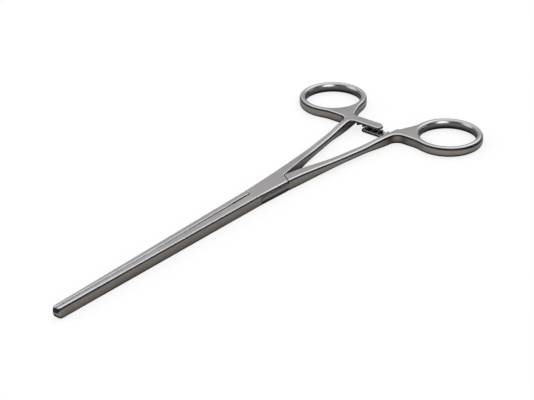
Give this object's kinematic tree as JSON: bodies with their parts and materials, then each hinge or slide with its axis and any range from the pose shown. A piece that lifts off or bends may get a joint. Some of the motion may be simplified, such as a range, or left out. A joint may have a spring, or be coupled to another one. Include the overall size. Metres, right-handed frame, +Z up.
{
  "type": "intestinal forceps",
  "caption": "Long straight surgical clamp with finger rings, a ratchet, a box lock and slim jaws with lengthwise grooves.",
  "frame": {"origin": "on the pivot axis, in the underside plane of the box lock, which the instrument lies on", "axes": "+X along the instrument to the jaw tips, +Y to the ring of the half with the tongue, +Z up through the lock, along the pivot pin"},
  "size_m": [0.2215, 0.0922, 0.005],
  "materials": {
    "steel": "satin ground stainless steel, finger rings polished"
  },
  "bodies": {
    "plate_half": {"female_half": "steel", "pivot_pin": "steel"},
    "tongue_half": {"male_half": "steel"}
  },
  "joints": [
    {"name": "box_lock", "type": "hinge", "parent": "plate_half", "child": "tongue_half", "pos_m": [0, 0, 0.0025], "axis": [0, 0, -1], "range_deg": [0, 40]}
  ]
}
